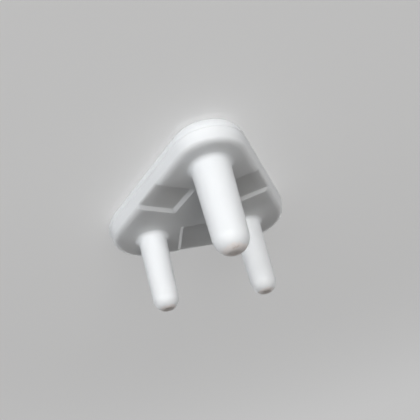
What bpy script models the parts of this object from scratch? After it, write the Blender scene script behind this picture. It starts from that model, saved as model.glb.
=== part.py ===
"""Outlet safety cover for a three-round-pin socket, moulded in one piece.

A thick rounded triangle of white plastic carries three solid pins: a long thick one that
fills the earth hole and two shorter ones that fill the live and neutral holes. The plate
lies with its outer face on Z = 0, and the pins stand up along +Z. X runs across the two
small pins, and Y runs from them towards the earth pin. The origin is under the middle of
the plate's width and length.

Three shallow finger recesses run in from the sides of the pin face, so that the plate can
be gripped behind its edge and pulled out of the socket.

Sizes are in millimetres and are written once, here at the top.
"""

import math

import bmesh
import bpy
from mathutils import Vector

MM = 0.001

# Pin places, a standard of the socket
SMALL_PIN_PITCH = 19.05
EARTH_PIN_RISE = 22.22

# Plate outline, at its widest line
TOP_CORNER_RADIUS = 6.95
TOP_CORNER_PAST_EARTH_PIN = 1.37
LOWER_CORNER_RADIUS = 8.8
LOWER_CORNER_SPREAD = 17.4
LOWER_CORNER_RISE = 0.78
CORNER_STEPS = 24

# Plate edge, from the outer face to the pin face
PLATE_THICKNESS = 5.05
BACK_EDGE_WIDTH = 1.9
BACK_EDGE_HEIGHT = 2.45
PARTING_STEP = 0.15
PARTING_STEP_HEIGHT = 0.1
SIDE_TAPER = 0.3
FRONT_EDGE_WIDTH = 1.4
FRONT_EDGE_HEIGHT = 0.85
BACK_EDGE_STEPS = 6
FRONT_EDGE_STEPS = 5

# Finger recesses in the pin face, round a central land
LAND_MIDDLE_RISE = 8.0
LAND_INNER_RADIUS = 5.1
RECESS_WIDTH = 8.0
RECESS_DEPTH = 0.5
RECESS_WALL_SLOPE = math.radians(55.0)
RECESS_FILLET = 0.4
RECESS_FILLET_STEPS = 3
RECESS_CORNER_RADIUS = 0.3
RECESS_CORNER_STEPS = 4

# Earth pin
EARTH_ROOT_RADIUS = 3.57
EARTH_TIP_RADIUS = 3.2
EARTH_PIN_LENGTH = 17.4
EARTH_DOME_HEIGHT = 3.2
EARTH_FLAT_RADIUS = 0.6

# Small pins
SMALL_ROOT_RADIUS = 2.7
SMALL_TIP_RADIUS = 2.47
SMALL_PIN_LENGTH = 15.3
SMALL_DOME_HEIGHT = 2.5
SMALL_FLAT_RADIUS = 0.6

# Fillet where each pin meets the plate, and the facets round a pin
ROOT_FILLET = 0.5
ROOT_FILLET_STEPS = 4
DOME_STEPS = 8
PIN_FACETS = 40

# How far the pins reach into the plate, and the cutters past it, so that each overlaps it
ROOT_SINK = 1.2
FILLET_SINK = 0.02
CUTTER_OVERRUN = 3.0

# White moulded plastic
PLASTIC_COLOUR = (0.83, 0.84, 0.86, 1.0)
PLASTIC_ROUGHNESS = 0.38


def corners():
    """Centre and radius of the outline's three corners, anticlockwise from the top one."""
    top = Vector((0.0, EARTH_PIN_RISE + TOP_CORNER_PAST_EARTH_PIN))
    left = Vector((-LOWER_CORNER_SPREAD / 2, LOWER_CORNER_RISE))
    right = Vector((LOWER_CORNER_SPREAD / 2, LOWER_CORNER_RISE))
    return [
        (top, TOP_CORNER_RADIUS),
        (left, LOWER_CORNER_RADIUS),
        (right, LOWER_CORNER_RADIUS),
    ]


def plate_middle():
    """Y of the middle of the plate's length, measured from the line of the small pins."""
    top_end = EARTH_PIN_RISE + TOP_CORNER_PAST_EARTH_PIN + TOP_CORNER_RADIUS
    lower_end = LOWER_CORNER_RISE - LOWER_CORNER_RADIUS
    return (top_end + lower_end) / 2


def side_normal(start, end):
    """Outward normal of the straight side that touches two corners.

    The side is their common tangent, so (end - start) . n = start radius - end radius.
    """
    (start_centre, start_radius), (end_centre, end_radius) = start, end
    along = end_centre - start_centre
    distance = along.length
    along.normalize()
    outward = Vector((along.y, -along.x))
    lean = (start_radius - end_radius) / distance
    return along * lean + outward * math.sqrt(1.0 - lean * lean)


def side_middle(start, end):
    """Middle of the straight side between two corners, on the plate's widest line."""
    normal = side_normal(start, end)
    first = start[0] + normal * start[1]
    last = end[0] + normal * end[1]
    return (first + last) / 2


def outline(inset):
    """Points of the plate's outline, `inset` inside its widest line.

    Each corner is an arc, centre + (radius - inset) (cos a, sin a), that runs from the
    normal of the side before it to the normal of the side after it.
    """
    points = []
    all_corners = corners()
    for index, (centre, radius) in enumerate(all_corners):
        before = side_normal(all_corners[index - 1], all_corners[index])
        after = side_normal(all_corners[index], all_corners[(index + 1) % 3])
        first = math.atan2(before.y, before.x)
        turn = (math.atan2(after.y, after.x) - first) % (2 * math.pi)
        for step in range(CORNER_STEPS + 1):
            angle = first + turn * step / CORNER_STEPS
            direction = Vector((math.cos(angle), math.sin(angle)))
            points.append(centre + direction * (radius - inset))
    return points


def quarter_turn(steps):
    """Angles from 0 to a right angle."""
    return [math.pi / 2 * step / steps for step in range(steps + 1)]


def edge_profile():
    """The plate's edge as (inset, height) stations, from the outer face to the pin face.

    A quarter ellipse rolls in from the outer face. A small step marks the line where the
    two halves of the mould meet, the wall above it tapers, and a quarter ellipse closes
    it on the pin face.
    """
    stations = []
    for angle in quarter_turn(BACK_EDGE_STEPS):
        inset = BACK_EDGE_WIDTH * (1 - math.sin(angle))
        stations.append((inset, BACK_EDGE_HEIGHT * (1 - math.cos(angle))))
    stations.append((PARTING_STEP, BACK_EDGE_HEIGHT + PARTING_STEP_HEIGHT))
    wall_top = PARTING_STEP + SIDE_TAPER
    for angle in quarter_turn(FRONT_EDGE_STEPS):
        inset = wall_top + FRONT_EDGE_WIDTH * (1 - math.cos(angle))
        stations.append((inset, PLATE_THICKNESS - FRONT_EDGE_HEIGHT * (1 - math.sin(angle))))
    return stations


def add_object(name, builder, collection):
    """Make an object in a collection from a bmesh whose sizes are in millimetres."""
    mesh = bpy.data.meshes.new(name)
    bmesh.ops.scale(builder, vec=(MM, MM, MM), verts=builder.verts)
    bmesh.ops.recalc_face_normals(builder, faces=builder.faces)
    builder.to_mesh(mesh)
    builder.free()
    made = bpy.data.objects.new(name, mesh)
    collection.objects.link(made)
    return made


def loft(builder, rings):
    """Join rings of points into one closed body: bridge each to the next, and cap the ends."""
    loops = [
        [builder.edges.new((ring[index - 1], ring[index])) for index in range(len(ring))]
        for ring in rings
    ]
    for lower, upper in zip(loops, loops[1:]):
        bmesh.ops.bridge_loops(builder, edges=lower + upper)
    bmesh.ops.contextual_create(builder, geom=loops[0])
    bmesh.ops.contextual_create(builder, geom=loops[-1])


def add_plate(name, collection):
    """The plate: its outline at each station of the edge, lofted into one closed body."""
    builder = bmesh.new()
    rings = [
        [
            builder.verts.new((point.x, point.y - plate_middle(), height))
            for point in outline(inset)
        ]
        for inset, height in edge_profile()
    ]
    loft(builder, rings)
    return add_object(name, builder, collection)


def recess_wall():
    """The recess's wall as (inset, height) stations, from above the pin face to its floor.

    The wall is a slope through the recess's edge, (0, 0). A fillet touches it and the
    floor: a turn of w at radius r starts r tan(w / 2) before the corner of the two.
    """
    lean = math.tan(RECESS_WALL_SLOPE)
    stations = [(-CUTTER_OVERRUN * lean, CUTTER_OVERRUN)]
    turn = math.pi / 2 - RECESS_WALL_SLOPE
    fillet_end = RECESS_DEPTH * lean + RECESS_FILLET * math.tan(turn / 2)
    for step in range(RECESS_FILLET_STEPS, -1, -1):
        angle = turn * step / RECESS_FILLET_STEPS
        inset = fillet_end - RECESS_FILLET * math.sin(angle)
        stations.append((inset, RECESS_FILLET * (1 - math.cos(angle)) - RECESS_DEPTH))
    return stations


def recess_outline(reach, inset):
    """Plan of the recess as (across, out from the land) points, `inset` inside its edge.

    It is a rectangle with its two inner corners rounded. Its outer end lies past the rim.
    """
    points = []
    half_width = RECESS_WIDTH / 2 - inset
    corner_out = inset + RECESS_CORNER_RADIUS
    corner_across = half_width - RECESS_CORNER_RADIUS
    for end in (-1, 1):
        for angle in quarter_turn(RECESS_CORNER_STEPS):
            if end == 1:
                angle = math.pi / 2 - angle
            across = end * (corner_across + RECESS_CORNER_RADIUS * math.cos(angle))
            points.append((across, corner_out - RECESS_CORNER_RADIUS * math.sin(angle)))
    points.append((half_width, reach + CUTTER_OVERRUN))
    points.append((-half_width, reach + CUTTER_OVERRUN))
    return points


def add_recess_cutter(name, side, collection):
    """Cutter for the finger recess in the middle of one side.

    It is the recess's plan at each station of its wall, lofted into one body. Its floor
    runs out level, so it meets the plate's rolled front edge on a line along the rim.
    """
    normal = side_normal(*side)
    middle = side_middle(*side)
    land_middle = Vector((0.0, LAND_MIDDLE_RISE))
    reach = (middle - land_middle).dot(normal) - LAND_INNER_RADIUS
    across_axis = Vector((normal.y, -normal.x))
    origin = middle - normal * reach - Vector((0.0, plate_middle()))

    builder = bmesh.new()
    rings = []
    for inset, height in recess_wall():
        ring = []
        for across, out in recess_outline(reach, inset):
            place = origin + across_axis * across + normal * out
            ring.append(builder.verts.new((place.x, place.y, PLATE_THICKNESS + height)))
        rings.append(ring)
    loft(builder, rings)
    return add_object(name, builder, collection)


def pin_profile(root_radius, tip_radius, length, dome_height, flat_radius):
    """Half section of a pin as (radius, height above the plate), from the tip down.

    A small flat, a quarter ellipse for the dome, a drafted side, and a quarter circle
    that flares out to the plate. The foot goes on down inside the plate.
    """
    points = [(0.0, length)]
    for angle in quarter_turn(DOME_STEPS):
        radius = flat_radius + (tip_radius - flat_radius) * math.sin(angle)
        points.append((radius, length - dome_height * (1 - math.cos(angle))))
    for angle in quarter_turn(ROOT_FILLET_STEPS):
        radius = root_radius + ROOT_FILLET * (1 - math.cos(angle))
        points.append((radius, ROOT_FILLET * (1 - math.sin(angle)) - FILLET_SINK))
    points.append((root_radius, -ROOT_SINK))
    points.append((0.0, -ROOT_SINK))
    return points


def add_pin(name, place, profile, collection):
    """A pin turned from its half section, standing on the pin face at `place`."""
    builder = bmesh.new()
    verts = [builder.verts.new((radius, 0.0, height)) for radius, height in profile]
    for upper, lower in zip(verts, verts[1:]):
        builder.edges.new((upper, lower))
    made = add_object(name, builder, collection)
    x, y = place
    made.location = (x * MM, (y - plate_middle()) * MM, PLATE_THICKNESS * MM)
    turn = made.modifiers.new("turn", "SCREW")
    turn.axis = "Z"
    turn.steps = PIN_FACETS
    turn.render_steps = PIN_FACETS
    turn.use_merge_vertices = True
    turn.merge_threshold = 0.000001
    return made


def combine(body, tool, operation):
    """Cut a tool from the body, or join it, with the exact solver."""
    modifier = body.modifiers.new(tool.name, "BOOLEAN")
    modifier.object = tool
    modifier.operation = operation
    modifier.solver = "EXACT"
    tool.hide_render = True
    tool.display_type = "WIRE"


def add_plastic():
    """White, slightly glossy moulded plastic."""
    material = bpy.data.materials.new("white_plastic")
    material.use_nodes = True
    surface = material.node_tree.nodes["Principled BSDF"]
    surface.inputs["Base Color"].default_value = PLASTIC_COLOUR
    surface.inputs["Roughness"].default_value = PLASTIC_ROUGHNESS
    surface.inputs["Metallic"].default_value = 0.0
    return material


def main():
    for item in list(bpy.data.objects):
        bpy.data.objects.remove(item, do_unlink=True)
    parts = bpy.data.collections.new("outlet_safety_cover")
    tools = bpy.data.collections.new("cutters")
    bpy.context.scene.collection.children.link(parts)
    bpy.context.scene.collection.children.link(tools)

    cover = add_plate("socket_cover", parts)
    cover.data.materials.append(add_plastic())

    all_corners = corners()
    for index, name in enumerate(("left_recess", "lower_recess", "right_recess")):
        side = (all_corners[index], all_corners[(index + 1) % 3])
        combine(cover, add_recess_cutter(name, side, tools), "DIFFERENCE")

    small = pin_profile(
        SMALL_ROOT_RADIUS, SMALL_TIP_RADIUS, SMALL_PIN_LENGTH, SMALL_DOME_HEIGHT, SMALL_FLAT_RADIUS
    )
    earth = pin_profile(
        EARTH_ROOT_RADIUS, EARTH_TIP_RADIUS, EARTH_PIN_LENGTH, EARTH_DOME_HEIGHT, EARTH_FLAT_RADIUS
    )
    half_pitch = SMALL_PIN_PITCH / 2
    pins = (
        ("left_pin", (-half_pitch, 0.0), small),
        ("right_pin", (half_pitch, 0.0), small),
        ("earth_pin", (0.0, EARTH_PIN_RISE), earth),
    )
    for name, place, profile in pins:
        combine(cover, add_pin(name, place, profile, tools), "UNION")


main()
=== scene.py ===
# %% [markdown]
# # An outlet safety cover, surface by surface
#
# The object is a small white plastic moulding. A thick rounded triangle carries three round
# pins that plug the holes of a wall socket, and three shallow recesses in its pin face give
# a fingernail something to pull on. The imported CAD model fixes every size. This lesson
# builds the fine surface over it, gives it its plastic and lights it.

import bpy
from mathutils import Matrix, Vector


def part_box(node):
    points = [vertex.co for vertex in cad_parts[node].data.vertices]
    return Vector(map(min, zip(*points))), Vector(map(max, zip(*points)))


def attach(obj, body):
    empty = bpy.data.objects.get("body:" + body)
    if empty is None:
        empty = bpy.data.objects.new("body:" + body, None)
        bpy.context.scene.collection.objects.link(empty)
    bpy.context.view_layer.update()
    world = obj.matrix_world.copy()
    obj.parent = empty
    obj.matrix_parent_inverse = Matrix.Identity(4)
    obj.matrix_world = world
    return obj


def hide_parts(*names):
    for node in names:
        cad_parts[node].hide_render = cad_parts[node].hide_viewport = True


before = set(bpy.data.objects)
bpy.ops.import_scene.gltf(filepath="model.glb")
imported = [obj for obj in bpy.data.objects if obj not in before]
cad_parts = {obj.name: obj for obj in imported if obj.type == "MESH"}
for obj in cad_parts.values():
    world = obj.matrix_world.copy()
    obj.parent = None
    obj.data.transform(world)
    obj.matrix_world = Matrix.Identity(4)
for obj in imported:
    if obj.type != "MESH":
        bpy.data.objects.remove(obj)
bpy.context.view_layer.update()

# %% Libraries
import math

import bpy
import numpy as np
from mathutils import Matrix, Vector
from mathutils.geometry import delaunay_2d_cdt

# %% [markdown]
# ## Sizes, in millimetres
#
# A designer knows this part by some twenty sizes: where the pins stand, the radii of the
# corners, the thickness, the edges and the recess. They could be measured on the model's
# mesh, but a size with a name explains itself, so they are written once here. Only the
# overall length and height are read from the model.

# %% Driving sizes
MM = 0.001
low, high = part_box("socket_cover")
PLATE_LENGTH = (high.y - low.y) / MM
PART_HEIGHT = (high.z - low.z) / MM

SMALL_PIN_PITCH = 19.05
EARTH_PIN_RISE = 22.22

# A corner is given by its centre's distance from the small pins' line, and its radius.
TOP_CORNER = (EARTH_PIN_RISE + 1.37, 6.95)
LOWER_CORNER = (0.78, 8.8)
LOWER_CORNER_SPREAD = 17.4

PLATE_THICKNESS = 5.05
# The width and height of each rolled edge, and of the step where the mould's halves met.
BACK_EDGE = (1.9, 2.45)
PARTING_STEP = (0.15, 0.1)
FRONT_EDGE = (1.4, 0.85)
SIDE_TAPER = 0.3

RECESS_HALF_WIDTH = 4.0
RECESS_DEPTH = 0.5
# How far the recess's wall leans from upright.
RECESS_WALL_SLOPE = math.radians(55.0)
RECESS_FLOOR_FILLET = 0.4
RECESS_TOP_ROUND = 0.2
RECESS_CORNER_RADIUS = 0.3
RIM_ROUND = 0.35
# The land between the recesses: its middle, and how far from there each recess stays.
LAND_MIDDLE_RISE = 8.0
LAND_INNER_RADIUS = 5.1

ROOT_FILLET = 0.8

# The frame's origin is under the middle of the plate's length.
MIDDLE = LOWER_CORNER[0] - LOWER_CORNER[1] + PLATE_LENGTH / 2
LAND_MIDDLE = np.array([0.0, LAND_MIDDLE_RISE - MIDDLE])
print(f"Plate length {PLATE_LENGTH:.2f} mm, part height {PART_HEIGHT:.2f} mm")

# %% [markdown]
# ## The outline
#
# Three circles of two sizes, joined by the straight lines that touch two of them. A curve
# object could draw that. It is worked out as arrays here, because a point of the outline
# has to know more than where it is: which way is outwards, how far it is along its straight
# side from that side's middle, where a recess sits, and how far in that recess reaches.
# Points crowd together where a recess wall will cross them, and stay apart where nothing
# happens.


# %% Corner circles and their common tangents
def corner_circles():
    """Centres and radii of the three corners, anticlockwise from the one by the earth pin."""
    half = LOWER_CORNER_SPREAD / 2
    centres = np.array(
        [[0.0, TOP_CORNER[0]], [-half, LOWER_CORNER[0]], [half, LOWER_CORNER[0]]]
    )
    centres[:, 1] -= MIDDLE
    radii = np.array([TOP_CORNER[1], LOWER_CORNER[1], LOWER_CORNER[1]])
    return centres, radii


def tangent_normals(centres, radii):
    """Outward normal of each side: along x lean + across x sqrt(1 - lean^2).

    `lean` is the difference of the two radii over the distance between the centres.
    """
    along = np.roll(centres, -1, axis=0) - centres
    distance = np.linalg.norm(along, axis=1, keepdims=True)
    along /= distance
    across = np.stack([along[:, 1], -along[:, 0]], axis=1)
    lean = ((radii - np.roll(radii, -1))[:, None]) / distance
    return along * lean + across * np.sqrt(1 - lean**2)


# %% [markdown]
# ## The wall of a recess
#
# In section the wall is an arc that turns down from the pin face, a sloping line, and a
# larger arc that meets the floor. A Boolean and a Bevel modifier could cut and round it,
# but they tend to break where a recess runs out through a curved rim. Written as a curve,
# depth against distance, the wall can be looked up for any point of the face.


# %% Section of the recess wall
def recess_wall_section(steps=8):
    """Distance inside the recess's edge, and depth, along the wall from face to floor.

    Both arcs touch the lines they join: an arc of radius r that turns through the angle
    w starts r tan(w / 2) before the corner of the two lines.
    """
    turn = math.pi / 2 - RECESS_WALL_SLOPE
    angles = np.linspace(0.0, turn, steps + 1)
    top_start = -RECESS_TOP_ROUND * math.tan(turn / 2)
    top = np.stack(
        [
            top_start + RECESS_TOP_ROUND * np.sin(angles),
            RECESS_TOP_ROUND * (1 - np.cos(angles)),
        ]
    )
    floor_corner = RECESS_DEPTH * math.tan(RECESS_WALL_SLOPE)
    foot_end = floor_corner + RECESS_FLOOR_FILLET * math.tan(turn / 2)
    foot = np.stack(
        [
            foot_end - RECESS_FLOOR_FILLET * np.sin(angles[::-1]),
            RECESS_DEPTH - RECESS_FLOOR_FILLET * (1 - np.cos(angles[::-1])),
        ]
    )
    return np.concatenate([top, foot], axis=1)


WALL_INSIDE, WALL_DEPTH = recess_wall_section()
print(f"Recess wall: {len(WALL_INSIDE)} stations over {WALL_INSIDE[-1] - WALL_INSIDE[0]:.2f} mm")


# %% Stations round the outline
ARC_STEPS = 40
SIDE_STEPS = 44
WALL_CLEARANCE = 0.1


def side_stations(half_length):
    """Distances from a side's middle, evenly spread, with more where the walls will be.

    The extra ones stand wherever the wall section has a station. The spread ones that come
    nearer to them than the clearance are left out.
    """
    crowded = RECESS_HALF_WIDTH - WALL_INSIDE
    spread = np.linspace(-half_length, half_length, SIDE_STEPS + 1)
    wall_middle = RECESS_HALF_WIDTH - (WALL_INSIDE[0] + WALL_INSIDE[-1]) / 2
    wall_room = (WALL_INSIDE[-1] - WALL_INSIDE[0]) / 2 + WALL_CLEARANCE
    far_from_wall = np.abs(np.abs(spread) - wall_middle) > wall_room
    return np.sort(np.concatenate([spread[far_from_wall], crowded, -crowded]))


def outline_stations():
    """Points, outward normals, distances from the side's middle and reach of its recess.

    They go once round the widest line. A corner is centre + radius (cos a, sin a), and a
    side is middle + tangent x along. The reach is how far in from the side a recess goes.
    """
    centres, radii = corner_circles()
    normals = tangent_normals(centres, radii)
    points, outward, along_side, reaches = [], [], [], []
    for index in range(3):
        before, after = normals[index - 1], normals[index]
        first = math.atan2(before[1], before[0])
        turn = (math.atan2(after[1], after[0]) - first) % (2 * math.pi)
        angles = first + turn * np.arange(1, ARC_STEPS) / ARC_STEPS
        direction = np.stack([np.cos(angles), np.sin(angles)], axis=1)
        points.append(centres[index] + radii[index] * direction)
        outward.append(direction)
        along_side.append(np.full(len(angles), np.inf))

        following = (index + 1) % 3
        start = centres[index] + radii[index] * after
        end = centres[following] + radii[following] * after
        middle = (start + end) / 2
        length = np.linalg.norm(end - start)
        along = side_stations(length / 2)
        points.append(middle + np.outer(along, (end - start) / length))
        outward.append(np.tile(after, (len(along), 1)))
        along_side.append(along)
        reach = (middle - LAND_MIDDLE) @ after - LAND_INNER_RADIUS
        reaches.append(np.full(len(angles) + len(along), reach))
    return (
        np.concatenate(points),
        np.concatenate(outward),
        np.abs(np.concatenate(along_side)),
        np.concatenate(reaches),
    )


RIM, OUTWARD, ALONG, REACH = outline_stations()
print(f"Outline: {len(RIM)} stations")

# %% [markdown]
# ## The plate as one grid
#
# Every station of the outline gets the same section: across the outer face, round the back
# edge, over the small step where the mould's halves met, up the drafted wall, over the
# front edge and in across the pin face. The plate could be extruded and bevelled, with the
# recesses cut afterwards. Laid side by side as one grid, a function of two parameters, the
# sections need no cut: the recesses are nothing but a drop in the grid's height. The rows
# crowd together at the recess's inner wall in the same way as the stations did.


# %% Depth of a recess anywhere on the pin face
def recess_depth(along, inset, reach):
    """Depth below the pin face at a distance along a side and an inset from the rim.

    The point lies u inside the recess's end and v inside its inner edge. Its distance
    inside the recess is the smaller of the two, and near the corner
    (u + v + sqrt(2 R^2 - (u - v)^2)) / 2 - R, whose level lines turn with radius R.
    The wall section turns that distance into a depth.
    """
    u = RECESS_HALF_WIDTH - along
    v = reach - inset
    apart = np.clip(np.abs(u - v), 0, RECESS_CORNER_RADIUS)
    rounded = (np.minimum(u, v) * 2 + apart + np.sqrt(2 * RECESS_CORNER_RADIUS**2 - apart**2)) / 2
    far = np.abs(u - v) >= RECESS_CORNER_RADIUS
    inside = np.where(far, np.minimum(u, v), rounded - RECESS_CORNER_RADIUS)
    return np.interp(inside, WALL_INSIDE, WALL_DEPTH)


# %% Rows of the section, from the outer face to the web between the pins
BACK_EDGE_ROWS = 14
STEP_ROWS = 4
WALL_ROWS = 6
FRONT_EDGE_ROWS = 12
RIM_ROUND_ROWS = 4
FLOOR_ROWS = 12
# Beside a recess the rows run in past it. Beyond a margin they draw back to the web's inset.
WEB_INSET = 3.0
WEB_PAST_RECESS = 0.5
RECESS_MARGIN = 0.4
DRAW_BACK_LENGTH = 2.6
# The model's arcs are faceted and lie a little inside the true curves, so the skin does too.
SKIN_INSET = 0.002


def ease(values):
    """Smooth step from 0 to 1: 3 v^2 - 2 v^3, level at both ends."""
    v = np.clip(values, 0, 1)
    return v * v * (3 - 2 * v)


def lower_section():
    """Inset and height of the rows that are the same all the way round.

    The back edge is a quarter ellipse, and the step an eased rise in the inset.
    """
    angle = np.linspace(0, math.pi / 2, BACK_EDGE_ROWS + 1)
    edge_inset = BACK_EDGE[0] * (1 - np.sin(angle))
    edge_height = BACK_EDGE[1] * (1 - np.cos(angle))
    rise = np.linspace(0, 1, STEP_ROWS + 1)[1:]
    inset = np.concatenate([edge_inset, PARTING_STEP[0] * ease(rise)])
    height = np.concatenate([edge_height, BACK_EDGE[1] + PARTING_STEP[1] * rise])
    return inset, height


def front_edge_rows(drop):
    """Inset and height of the front edge, which ends where it meets the recess's floor.

    The edge is a quarter ellipse, followed as far as the angle t at which it lies `drop`
    under the pin face: sin t = 1 - drop / height. The corner it makes there with the floor
    is rounded by a parabola that touches both: (1-q)^2 A + 2 q (1-q) corner + q^2 B.
    """
    wide, tall = FRONT_EDGE
    wall_top = PARTING_STEP[0] + SIDE_TAPER
    last = np.arcsin(1 - drop / tall)
    corner = np.stack([wall_top + wide * (1 - np.cos(last)), PLATE_THICKNESS - drop])
    speed = np.hypot(wide * np.sin(last), tall * np.cos(last))
    turn = np.linspace(0, 1, FRONT_EDGE_ROWS + 1)[1:, None] * (last - RIM_ROUND / speed)
    inset = wall_top + wide * (1 - np.cos(turn))
    height = PLATE_THICKNESS - tall * (1 - np.sin(turn))
    start = np.stack([inset[-1], height[-1]])
    end = corner + np.array([[RIM_ROUND], [0.0]])
    q = np.linspace(0, 1, RIM_ROUND_ROWS + 1)[1:, None, None]
    rounding = (1 - q) ** 2 * start + 2 * q * (1 - q) * corner + q**2 * end
    return np.concatenate([inset, rounding[:, 0]]), np.concatenate([height, rounding[:, 1]])


def plate_grid():
    """Rows x stations of points, as inset from the rim and height, then placed in the plane.

    Above the step the wall leans in by its taper, the front edge rolls over, and the pin
    face, lowered by the recess, runs in to the web.
    """
    lower_inset, lower_height = lower_section()
    count = len(RIM)
    wall_foot = BACK_EDGE[1] + PARTING_STEP[1]
    wall_height = PLATE_THICKNESS - FRONT_EDGE[1] - wall_foot
    up = np.linspace(0, 1, WALL_ROWS + 1)[1:]
    same_inset = np.concatenate([lower_inset, PARTING_STEP[0] + SIDE_TAPER * up])
    same_height = np.concatenate([lower_height, wall_foot + wall_height * up])

    drop = recess_depth(ALONG, np.zeros(count), REACH)
    edge_inset, edge_height = front_edge_rows(drop)

    edge_end = edge_inset[-1]
    foot = REACH - WALL_INSIDE[-1]
    floor = np.linspace(0, 1, FLOOR_ROWS + 1)[1:, None] * (foot - edge_end) + edge_end
    inner_wall = REACH - WALL_INSIDE[::-1][1:, None]
    land = (REACH + WEB_PAST_RECESS)[None, :]
    face_inset = np.concatenate([floor, inner_wall, land])
    past_margin = ALONG - RECESS_HALF_WIDTH - RECESS_MARGIN
    near_recess = 1 - ease(past_margin / DRAW_BACK_LENGTH)
    shortest = (WEB_INSET - edge_end) / (land - edge_end)
    stretch = shortest + (1 - shortest) * near_recess
    face_inset = edge_end + (face_inset - edge_end) * stretch
    face_height = PLATE_THICKNESS - recess_depth(ALONG, face_inset, REACH)

    inset_rows = [np.repeat(same_inset[:, None], count, axis=1), edge_inset, face_inset]
    height_rows = [np.repeat(same_height[:, None], count, axis=1), edge_height, face_height]
    inset = np.concatenate(inset_rows) + SKIN_INSET
    height = np.concatenate(height_rows)
    plane = RIM[None] - OUTWARD[None] * inset[..., None]
    return np.concatenate([plane, height[..., None]], axis=2)


plate = plate_grid()
print(f"Plate grid: {plate.shape[0]} rows x {plate.shape[1]} stations")

# %% [markdown]
# ## The pins
#
# A pin is a turned shape, so its half section is all there is to design: a flare where it
# leaves the plate, a drafted side, a dome and a small flat. The flat is dimpled a little
# where the plastic shrank as it cooled. A Screw modifier could turn the section too. Worked
# out as a grid, its first row is known point by point, and the plate can be joined to it.

# %% Half section of a pin
PIN_STEPS = 96
FLARE_ROWS = 8
SIDE_ROWS = 14
DOME_ROWS = 18
END_ROWS = 8
DIMPLE_RADIUS = 0.7
DIMPLE_DEPTH = 0.05


def pin_section(root_radius, tip_radius, length, dome_height, flat_radius):
    """Radii and heights above the pin face, from the flare's foot inwards over the end.

    Flare: a quarter circle. Side: a straight draft. Dome: a quarter ellipse that ends on a
    small flat. A dimple sits on it: depth x (1 - (r / R)^2)^2, level at its rim. The height
    of the dimple's middle, a point by itself, comes last.
    """
    flare = np.linspace(0, math.pi / 2, FLARE_ROWS + 1)
    radius = [root_radius + ROOT_FILLET * (1 - np.sin(flare))]
    height = [ROOT_FILLET * (1 - np.cos(flare))]
    up = np.linspace(0, 1, SIDE_ROWS + 1)[1:]
    side_end = length - dome_height
    radius.append(root_radius + (tip_radius - root_radius) * up)
    height.append(ROOT_FILLET + (side_end - ROOT_FILLET) * up)
    turn = np.linspace(0, math.pi / 2, DOME_ROWS + 1)[1:]
    radius.append(flat_radius + (tip_radius - flat_radius) * np.cos(turn))
    height.append(side_end + dome_height * np.sin(turn))
    inwards = np.linspace(1, 0, END_ROWS + 1)[1:-1]
    radius.append(flat_radius * inwards)
    height.append(np.full(len(inwards), length))
    radius, height = np.concatenate(radius), np.concatenate(height)
    dimple = DIMPLE_DEPTH * (1 - np.clip(radius / DIMPLE_RADIUS, 0, 1) ** 2) ** 2
    return radius, height - dimple, length - DIMPLE_DEPTH


def turned_grid(section, place):
    """The section carried round a circle: x = r cos a, y = r sin a, moved to its place."""
    radius, height, _ = section
    angle = np.linspace(0, 2 * math.pi, PIN_STEPS, endpoint=False)
    return np.stack(
        [
            place[0] + np.outer(radius, np.cos(angle)),
            place[1] + np.outer(radius, np.sin(angle)),
            PLATE_THICKNESS + np.repeat(height[:, None], PIN_STEPS, axis=1),
        ],
        axis=2,
    )


EARTH_SECTION = pin_section(
    root_radius=3.57,
    tip_radius=3.2,
    length=PART_HEIGHT - PLATE_THICKNESS,
    dome_height=3.2,
    flat_radius=0.6,
)
SMALL_SECTION = pin_section(
    root_radius=2.7, tip_radius=2.47, length=15.3, dome_height=2.5, flat_radius=0.6
)
PIN_PLACES = {
    "left": (-SMALL_PIN_PITCH / 2, -MIDDLE),
    "right": (SMALL_PIN_PITCH / 2, -MIDDLE),
    "earth": (0.0, EARTH_PIN_RISE - MIDDLE),
}
PIN_SECTIONS = {"left": SMALL_SECTION, "right": SMALL_SECTION, "earth": EARTH_SECTION}
pins = {name: turned_grid(PIN_SECTIONS[name], place) for name, place in PIN_PLACES.items()}
print("Pins:", {name: grid.shape[:2] for name, grid in pins.items()})

# %% [markdown]
# ## Joining the surfaces into one skin
#
# The real cover is a single moulding, so its mesh has to be one closed skin. A Boolean
# union would do it, but it leaves slivers along each seam that shade badly. Here the seam
# is designed instead: the plate's last row and the pins' first rows all lie on the flat pin
# face, so a flat web with three round holes joins them, point to point. Blender's own
# constrained triangulation fills it.


# %% Faces of a grid and of a fan
def grid_faces(rows, columns, first):
    """Quads of a grid whose columns close on themselves, as indices from `first`."""
    r, c = np.meshgrid(np.arange(rows - 1), np.arange(columns), indexing="ij")
    here = first + r * columns + c
    beside = first + r * columns + (c + 1) % columns
    return np.stack([here, beside, beside + columns, here + columns], axis=-1).reshape(-1, 4)


def fan_faces(ring, centre):
    """Triangles from a closed ring of indices to one middle point."""
    return np.stack([ring, np.roll(ring, -1), np.full(len(ring), centre)], axis=1)


# %% The web between the plate and the pins
# The kind of output that keeps only the triangles inside the loops, and how near two points
# have to be to count as one.
INSIDE_LOOPS = 1
MERGE_DISTANCE = 1e-7


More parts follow.
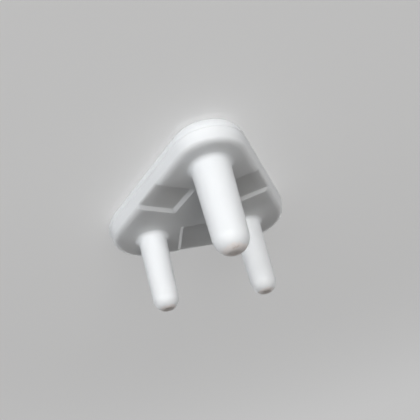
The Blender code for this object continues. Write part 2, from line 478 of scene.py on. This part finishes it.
def web_faces(points, loops, holes):
    """Triangles that fill the first loop and leave the others open."""
    edges = np.concatenate([np.stack([loop, np.roll(loop, -1)], axis=1) for loop in loops])
    used = np.concatenate(loops)
    local = {int(index): number for number, index in enumerate(used)}
    flat = [Vector((float(points[i, 0]), float(points[i, 1]))) for i in used]
    bounds = [(local[int(a)], local[int(b)]) for a, b in edges]
    filled = delaunay_2d_cdt(flat, bounds, [], INSIDE_LOOPS, MERGE_DISTANCE)
    _, _, triangles, origins, _, _ = filled
    back = np.array([used[origin[0]] for origin in origins])
    triangles = back[np.array(triangles)]
    middle = points[triangles].mean(axis=1)[:, :2]
    open_hole = np.zeros(len(triangles), bool)
    for centre, radius in holes:
        open_hole |= np.hypot(*(middle - centre).T) < radius
    return triangles[~open_hole]


# %% One mesh
def build_skin():
    """All grids in one list of points, with the faces that join them."""
    rows, columns = plate.shape[:2]
    points = [plate.reshape(-1, 3)]
    quads = [grid_faces(rows, columns, 0)]
    total = rows * columns
    outer_middle = total
    points.append(np.array([[*LAND_MIDDLE, 0.0]]))
    total += 1
    triangles = [fan_faces(np.arange(columns)[::-1], outer_middle)]
    loops = [np.arange((rows - 1) * columns, rows * columns)]
    holes = []
    for name, grid in pins.items():
        pin_rows = grid.shape[0]
        points.append(grid.reshape(-1, 3))
        quads.append(grid_faces(pin_rows, PIN_STEPS, total))
        loops.append(np.arange(total, total + PIN_STEPS))
        last_ring = np.arange(total + (pin_rows - 1) * PIN_STEPS, total + pin_rows * PIN_STEPS)
        total += pin_rows * PIN_STEPS
        end_height = PLATE_THICKNESS + PIN_SECTIONS[name][2]
        points.append(np.array([[*PIN_PLACES[name], end_height]]))
        triangles.append(fan_faces(last_ring, total))
        total += 1
        holes.append((np.array(PIN_PLACES[name]), PIN_SECTIONS[name][0][0]))
    points = np.concatenate(points)
    triangles.append(web_faces(points, loops, holes))
    return points, np.concatenate(quads), np.concatenate(triangles)


skin_points, skin_quads, skin_triangles = build_skin()


def add_skin(name):
    """The finished moulding as a mesh object, at the origin, with its place in its mesh."""
    mesh = bpy.data.meshes.new(name)
    faces = skin_quads.tolist() + skin_triangles.tolist()
    mesh.from_pydata((skin_points * MM).tolist(), [], faces)
    mesh.validate()
    mesh.shade_smooth()
    piece = bpy.data.objects.new(name, mesh)
    bpy.context.scene.collection.objects.link(piece)
    return piece


moulding = add_skin("cover_moulding")
print(f"Skin: {len(moulding.data.vertices)} points, {len(moulding.data.polygons)} faces")

# %% [markdown]
# ## The plastic
#
# The cover is injection moulded in a white that is very slightly cool. An even white would
# look like paint. Part of the light comes back from the plastic's skin, which keeps the
# small steps crisp. The rest goes a few millimetres into it and comes out elsewhere, which
# softens the shade beside a bright wall. The shader's subsurface weight shares the light
# out between the two. On top come three things that a moulding has: a fine grain left by
# the mould, slow waves where the plastic shrank, and faint streaks where it flowed.
#
# The pins' ends are different. Each is duller and a little brown, with a small crease beside
# its middle: a shallow groove in the bump, and a dark brown line of painted shade along it,
# where the end turns from the light. One node group makes that mark, and the material uses
# it three times, once for each pin.


# %% Node groups and sockets
def new_group(name, inputs, outputs):
    """An empty shader group with named sockets, and its input and output nodes."""
    group = bpy.data.node_groups.new(name, "ShaderNodeTree")
    for label, kind, value in inputs:
        socket = group.interface.new_socket(label, in_out="INPUT", socket_type=kind)
        if value is not None:
            socket.default_value = value
    for label, kind in outputs:
        group.interface.new_socket(label, in_out="OUTPUT", socket_type=kind)
    return group, group.nodes.new("NodeGroupInput"), group.nodes.new("NodeGroupOutput")


def feed(tree, socket, given):
    """Link a node's output to a socket, or set the socket to a number or a colour."""
    if isinstance(given, bpy.types.NodeSocket):
        tree.links.new(given, socket)
    else:
        socket.default_value = given


# %% Nodes for sums, lengths, mixes and masks
def maths(tree, operation, *values):
    """A Math node. Each value is a number or a socket."""
    node = tree.nodes.new("ShaderNodeMath")
    node.operation = operation
    for socket, value in zip(node.inputs, values):
        feed(tree, socket, value)
    return node.outputs[0]


def length_of(tree, vector):
    """The length of a vector."""
    node = tree.nodes.new("ShaderNodeVectorMath")
    node.operation = "LENGTH"
    tree.links.new(vector, node.inputs[0])
    return node.outputs["Value"]


def colour_mix(tree, factor, first, second):
    """Two colours mixed: the first at factor 0, the second at factor 1."""
    node = tree.nodes.new("ShaderNodeMix")
    node.data_type = "RGBA"
    for label, given in (("Factor", factor), ("A", first), ("B", second)):
        feed(tree, node.inputs[label], given)
    return node.outputs["Result"]


def noise(tree, place, cells, detail=2.0, roughness=0.5, stretch=(1, 1, 1)):
    """Noise with so many cells a metre. A stretch below 1 draws it out along that axis."""
    mapping = tree.nodes.new("ShaderNodeMapping")
    mapping.inputs["Scale"].default_value = stretch
    tree.links.new(place, mapping.inputs["Vector"])
    node = tree.nodes.new("ShaderNodeTexNoise")
    node.inputs["Scale"].default_value = cells
    node.inputs["Detail"].default_value = detail
    node.inputs["Roughness"].default_value = roughness
    tree.links.new(mapping.outputs[0], node.inputs["Vector"])
    return node.outputs["Fac"]


def falling(tree, value, start, end):
    """Mask that is 1 up to `start` and falls smoothly to 0 at `end`."""
    node = tree.nodes.new("ShaderNodeMapRange")
    node.interpolation_type = "SMOOTHSTEP"
    node.inputs["To Min"].default_value = 1.0
    node.inputs["To Max"].default_value = 0.0
    for label, given in (("Value", value), ("From Min", start), ("From Max", end)):
        feed(tree, node.inputs[label], given)
    return node.outputs["Result"]


# %% Group: surface of a moulding
GRAIN_CELLS = 5200.0
GRAIN_HEIGHT = 0.4
WAVE_CELLS = 260.0
WAVE_SHADE = 0.4
STREAK_CELLS = 420.0
STREAK_SHADE = 0.6
STREAK_STRETCH = (1.0, 0.3, 0.6)


def moulded_surface_group():
    """Height and shade of a moulded wall: grain, shrinkage waves and flow streaks.

    Height = waves + Grain x grain. Shade = 0.4 waves + 0.6 streaks.
    """
    group, given, result = new_group(
        "moulded_surface",
        [("Place", "NodeSocketVector", None), ("Grain", "NodeSocketFloat", GRAIN_HEIGHT)],
        [("Height", "NodeSocketFloat"), ("Shade", "NodeSocketFloat")],
    )
    place = given.outputs["Place"]
    grain = noise(group, place, GRAIN_CELLS, detail=3.0)
    wave = noise(group, place, WAVE_CELLS)
    streak = noise(group, place, STREAK_CELLS, stretch=STREAK_STRETCH)
    height = maths(group, "MULTIPLY_ADD", grain, given.outputs["Grain"], wave)
    wave_shade = maths(group, "MULTIPLY", wave, WAVE_SHADE)
    shade = maths(group, "MULTIPLY_ADD", streak, STREAK_SHADE, wave_shade)
    group.links.new(height, result.inputs["Height"])
    group.links.new(shade, result.inputs["Shade"])
    return group


# %% Group: mark on the end of a pin
RAGGED_CELLS = 1400.0
RAGGED_SWING = 0.0012
FULL_TINT_SHARE = 0.75

# In metres: how far out each mask is still full, and where it ends.
CREASE_HALF_WIDTH = (0.00005, 0.0004)
CREASE_HALF_LENGTH = (0.0003, 0.0009)
CREASE_REACH = (0.0018, 0.0024)


def end_mark_group():
    """Tint round a pin's end, and a groove line beside its middle, both with ragged borders.

    Tint: 1 out to three quarters of Reach, falling smoothly to 0 at Reach. Groove: a short
    line along X, Crease Offset from the middle in Y. It is 1 on that line and falls to 0
    with the distance from it in Y, from its middle in X and from the pin's end. The material
    cuts it into the bump as a groove and darkens it brown as painted shade.
    """
    group, given, result = new_group(
        "pin_end_mark",
        [
            ("Place", "NodeSocketVector", None),
            ("Middle", "NodeSocketVector", None),
            ("Reach", "NodeSocketFloat", None),
            ("Crease Offset", "NodeSocketFloat", None),
        ],
        [("Tint", "NodeSocketFloat"), ("Groove And Shade", "NodeSocketFloat")],
    )
    from_middle = group.nodes.new("ShaderNodeVectorMath")
    from_middle.operation = "SUBTRACT"
    group.links.new(given.outputs["Place"], from_middle.inputs[0])
    group.links.new(given.outputs["Middle"], from_middle.inputs[1])
    distance = length_of(group, from_middle.outputs["Vector"])
    axes = group.nodes.new("ShaderNodeSeparateXYZ")
    group.links.new(from_middle.outputs["Vector"], axes.inputs["Vector"])

    ragged = noise(group, given.outputs["Place"], RAGGED_CELLS, detail=3.0, roughness=0.6)
    uneven = maths(group, "MULTIPLY_ADD", ragged, RAGGED_SWING, -RAGGED_SWING / 2)
    reach = given.outputs["Reach"]
    full_tint = maths(group, "MULTIPLY", reach, FULL_TINT_SHARE)
    tint = falling(group, maths(group, "ADD", distance, uneven), full_tint, reach)

    across = maths(group, "SUBTRACT", axes.outputs["Y"], given.outputs["Crease Offset"])
    across = maths(group, "ABSOLUTE", maths(group, "ADD", across, uneven))
    along = maths(group, "ABSOLUTE", axes.outputs["X"])
    # The groove's line: the bump cuts it, and the colour darkens it as painted shade.
    line = falling(group, across, *CREASE_HALF_WIDTH)
    groove_and_shade = maths(group, "MULTIPLY", line, falling(group, along, *CREASE_HALF_LENGTH))
    near_end = falling(group, distance, *CREASE_REACH)
    group.links.new(tint, result.inputs["Tint"])
    group.links.new(maths(group, "MULTIPLY", groove_and_shade, near_end), result.inputs["Groove And Shade"])
    return group


# %% Marked ends of the pins
# For each pin: reach of the tint and offset of the crease, in metres.
END_MARKS = {"left": (0.0017, 0.0005), "right": (0.0017, 0.0005), "earth": (0.0026, 0.0015)}


def pin_end_marks(tree, place):
    """Tint and painted-shade groove for the whole moulding: the strongest of the three pins'
    marks.
    """
    mark_group = end_mark_group()
    tint, groove_and_shade = 0.0, 0.0
    for name, (reach, offset) in END_MARKS.items():
        mark = tree.nodes.new("ShaderNodeGroup")
        mark.node_tree = mark_group
        end_height = PLATE_THICKNESS + PIN_SECTIONS[name][2]
        middle = [value * MM for value in (*PIN_PLACES[name], end_height)]
        mark.inputs["Middle"].default_value = middle
        mark.inputs["Reach"].default_value = reach
        mark.inputs["Crease Offset"].default_value = offset
        tree.links.new(place, mark.inputs["Place"])
        tint = maths(tree, "MAXIMUM", mark.outputs["Tint"], tint)
        groove_and_shade = maths(tree, "MAXIMUM", mark.outputs["Groove And Shade"], groove_and_shade)
    return tint, groove_and_shade


# %% Plastic
WHITE = (0.84, 0.85, 0.86, 1.0)
SHADED_WHITE = (0.80, 0.81, 0.82, 1.0)
END_TINT = (0.87, 0.805, 0.775, 1.0)
# Dark brown painted shade along the groove on each pin's end.
CREASE_PAINTED_SHADE = (0.66, 0.58, 0.53, 1.0)
TINT_STRENGTH = 0.8
CREASE_SHADE_STRENGTH = 0.7
ROUGHNESS = 0.40
SHADE_ROUGHNESS = 0.12
TINT_ROUGHNESS = 0.15
BUMP_STRENGTH = 0.35
BUMP_DISTANCE = 0.00002
CREASE_HEIGHT = -1.5
REFRACTIVE_INDEX = 1.5
SCATTER_SHARE = 0.6
SCATTER_REACH = 0.0045


def white_plastic():
    """White moulded plastic that light enters a little, with marked pin ends."""
    material = bpy.data.materials.new("white_moulded_plastic")
    material.use_nodes = True
    tree = material.node_tree
    shader = tree.nodes["Principled BSDF"]
    place = tree.nodes.new("ShaderNodeTexCoord").outputs["Object"]
    surface = tree.nodes.new("ShaderNodeGroup")
    surface.node_tree = moulded_surface_group()
    tree.links.new(place, surface.inputs["Place"])
    tint, groove_and_shade = pin_end_marks(tree, place)

    tone = colour_mix(tree, surface.outputs["Shade"], SHADED_WHITE, WHITE)
    tone = colour_mix(tree, maths(tree, "MULTIPLY", tint, TINT_STRENGTH), tone, END_TINT)
    # Painted shade: the groove line on each pin's end is darkened brown.
    tone = colour_mix(tree, maths(tree, "MULTIPLY", groove_and_shade, CREASE_SHADE_STRENGTH), tone, CREASE_PAINTED_SHADE)
    tree.links.new(tone, shader.inputs["Base Color"])

    bump = tree.nodes.new("ShaderNodeBump")
    bump.inputs["Strength"].default_value = BUMP_STRENGTH
    bump.inputs["Distance"].default_value = BUMP_DISTANCE
    creased = maths(tree, "MULTIPLY_ADD", groove_and_shade, CREASE_HEIGHT, surface.outputs["Height"])
    tree.links.new(creased, bump.inputs["Height"])
    tree.links.new(bump.outputs["Normal"], shader.inputs["Normal"])

    rough = maths(tree, "MULTIPLY_ADD", surface.outputs["Shade"], SHADE_ROUGHNESS, ROUGHNESS)
    rough = maths(tree, "MULTIPLY_ADD", tint, TINT_ROUGHNESS, rough)
    tree.links.new(rough, shader.inputs["Roughness"])
    shader.inputs["IOR"].default_value = REFRACTIVE_INDEX
    shader.inputs["Subsurface Weight"].default_value = SCATTER_SHARE
    shader.inputs["Subsurface Radius"].default_value = (1.0, 1.0, 1.0)
    shader.inputs["Subsurface Scale"].default_value = SCATTER_REACH
    return material


moulding.data.materials.append(white_plastic())
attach(moulding, "root")
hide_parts("socket_cover")
print("Plastic:", moulding.data.materials[0].name)

# %% [markdown]
# ## The floor
#
# The floor is one large pale sheet, a hair below the outer face. A plain white one would
# hide the edges of a white cover, and a plain grey one would send too little light back up
# at it. So it has two colours: the white that it throws back on to the cover, as a sheet of
# card does, and the grey that the camera sees. A glow that lights nothing keeps that grey
# pale, and the cover's shadow stays on it. Away from the cover the glow takes over
# altogether, so that no pool of light shows under a lamp.


# %% Floor
FLOOR_HALF = 3.0
FLOOR_DROP = 0.00002


def add_floor():
    """A level square, a hair below z = 0."""
    corners = [(-1, -1), (1, -1), (1, 1), (-1, 1)]
    points = [(x * FLOOR_HALF, y * FLOOR_HALF, -FLOOR_DROP) for x, y in corners]
    mesh = bpy.data.meshes.new("pale_floor")
    mesh.from_pydata(points, [], [(0, 1, 2, 3)])
    piece = bpy.data.objects.new("pale_floor", mesh)
    bpy.context.scene.collection.objects.link(piece)
    return piece


# %% Floor's paper
BLACK = (0.0, 0.0, 0.0, 1.0)
FLOOR_SEEN = (0.42, 0.42, 0.42, 1.0)
FLOOR_BOUNCE = (0.80, 0.80, 0.80, 1.0)
NEAR_GLOW = 0.42
FAR_GLOW = 0.55
# Between these distances from the origin, in metres, the grey fades and the glow takes over.
FADE_START = 0.07
FADE_END = 0.22


def seen_directly(tree):
    """1 for a ray of the camera, a reflection or a window, 0 for one that carries light."""
    path = tree.nodes.new("ShaderNodeLightPath")
    seen = maths(tree, "MAXIMUM", path.outputs["Is Camera Ray"], path.outputs["Is Glossy Ray"])
    return maths(tree, "MAXIMUM", seen, path.outputs["Is Transmission Ray"])


def floor_paper():
    """Matt paper with one colour for the camera and a whiter one for the light it returns.

    Seen by the camera, its colour falls from grey to black with the distance from the
    cover, and its glow goes from NEAR_GLOW to FAR_GLOW.
    """
    material = bpy.data.materials.new("floor_paper")
    material.use_nodes = True
    tree = material.node_tree
    shader = tree.nodes["Principled BSDF"]
    shader.inputs["Roughness"].default_value = 1.0
    shader.inputs["Specular IOR Level"].default_value = 0.0
    seen = seen_directly(tree)
    place = tree.nodes.new("ShaderNodeTexCoord").outputs["Object"]
    near = falling(tree, length_of(tree, place), FADE_START, FADE_END)

    paper = colour_mix(tree, near, BLACK, FLOOR_SEEN)
    colour = colour_mix(tree, seen, FLOOR_BOUNCE, paper)
    tree.links.new(colour, shader.inputs["Base Color"])
    glow = tree.nodes.new("ShaderNodeEmission")
    level = maths(tree, "MULTIPLY_ADD", near, NEAR_GLOW - FAR_GLOW, FAR_GLOW)
    tree.links.new(maths(tree, "MULTIPLY", seen, level), glow.inputs["Strength"])
    both = tree.nodes.new("ShaderNodeAddShader")
    tree.links.new(shader.outputs[0], both.inputs[0])
    tree.links.new(glow.outputs[0], both.inputs[1])
    tree.links.new(both.outputs[0], tree.nodes["Material Output"].inputs["Surface"])
    return material


floor = add_floor()
floor.data.materials.append(floor_paper())
print("Floor:", floor.name)

# %% [markdown]
# ## The lights
#
# One large light from above would make the pin face the brightest part. On the real cover
# it looks grey between bright walls and pins, so the light has to come from low down. Soft
# panels stand in three rows on the camera's side of the cover: strips just above the floor,
# low panels over them, and panels at 22 degrees. The two lower rows do most of the work.
# They reach the walls and pins square on and only graze the pin face. The higher panels are
# a little warmer, as light is that a room has bounced. A fourth row of weaker strips keeps
# the cover's other side light.


# %% Rows of soft panels
LIGHT_DISTANCE = 0.6
PANEL_WIDTH = 0.28
UNIT_POWER = math.pi * LIGHT_DISTANCE**2
COOL = (0.965, 1.0, 1.035)
WARM = (1.10, 1.0, 0.88)
NEUTRAL = (1.0, 1.0, 1.0)

# Row: height of the panels, elevation of their middle in degrees, colour.
PANEL_ROWS = {
    "strip": (0.04, 2.5, COOL),
    "low": (0.12, 10.0, COOL),
    "middle": (0.28, 22.0, WARM),
    "back": (0.04, 2.5, NEUTRAL),
}

# For each row, azimuth in degrees and strength.
PANELS = {
    "strip": {150: 0.77, 120: 0.43, 90: 0.59, 30: 0.37, 0: 0.07, 180: 0.10},
    "low": {120: 0.54, 90: 0.55, 30: 0.05},
    "middle": {120: 0.04, 90: 0.57},
    "back": {240: 0.27, 270: 0.34, 300: 0.30, 330: 0.08},
}


def add_panel(row, azimuth, strength):
    """A soft rectangle that looks at the origin, of strength x pi x distance^2 watts."""
    panel_height, elevation, colour = PANEL_ROWS[row]
    up, turn = math.radians(elevation), math.radians(azimuth)
    towards = Vector((math.cos(up) * math.cos(turn), math.cos(up) * math.sin(turn), math.sin(up)))
    lamp = bpy.data.lights.new(f"{row}_{azimuth:03d}", "AREA")
    lamp.shape = "RECTANGLE"
    lamp.size = PANEL_WIDTH
    lamp.size_y = panel_height
    lamp.energy = UNIT_POWER * strength
    lamp.color = colour
    light = bpy.data.objects.new(lamp.name, lamp)
    bpy.context.scene.collection.objects.link(light)
    light.location = towards * LIGHT_DISTANCE
    light.rotation_euler = towards.to_track_quat("Z", "Y").to_euler()
    light.visible_camera = False


for row, panels in PANELS.items():
    for azimuth, strength in panels.items():
        add_panel(row, azimuth, strength)

print(f"{sum(len(panels) for panels in PANELS.values())} soft panels")

# %% [markdown]
# ## The world
#
# A bright world would light the cover from above. This one gives next to no light. Where
# the camera looks past the floor's far edge, it shows the same pale grey as the floor there.

# %% World
WORLD_LIGHT = 0.01

world = bpy.data.worlds.new("studio")
world.use_nodes = True
sky = world.node_tree
sky.nodes["Background"].inputs["Color"].default_value = (1.0, 1.0, 1.0, 1.0)
sky_strength = maths(sky, "MULTIPLY_ADD", seen_directly(sky), FAR_GLOW, WORLD_LIGHT)
sky.links.new(sky_strength, sky.nodes["Background"].inputs["Strength"])
bpy.context.scene.world = world
bpy.context.scene.view_settings.view_transform = "Standard"
print("World:", world.name)

# %% [markdown]
# ## The camera
#
# The camera stands where the photo was taken from. Its place, turn and lens were fitted to
# the cover's outline in the photo, with the distances between the pins held at their real
# size. The three directions are written out as they came from that fit. Angles would say
# the same, but Blender's order of turns is easily mistaken.

# %% Camera
LENS_MM = 69.46
SENSOR_MM = 36.0
CLIP_START = 0.001
CLIP_END = 20.0
CAMERA_PLACE = (-0.02971, 0.12587, 0.08157)
CAMERA_RIGHT = (0.96815, 0.09539, 0.23149)
CAMERA_UP = (0.14768, 0.52907, -0.83563)
CAMERA_BACK = (-0.20218, 0.84320, 0.49814)

camera_data = bpy.data.cameras.new("camera")
camera_data.lens = LENS_MM
camera_data.sensor_width = SENSOR_MM
camera_data.clip_start = CLIP_START
camera_data.clip_end = CLIP_END
camera = bpy.data.objects.new("camera", camera_data)
bpy.context.scene.collection.objects.link(camera)
rows = zip(CAMERA_RIGHT, CAMERA_UP, CAMERA_BACK, CAMERA_PLACE)
camera.matrix_world = Matrix([*rows, (0, 0, 0, 1)])
bpy.context.scene.camera = camera
print("Camera:", camera.name, "with a lens of", LENS_MM, "mm")
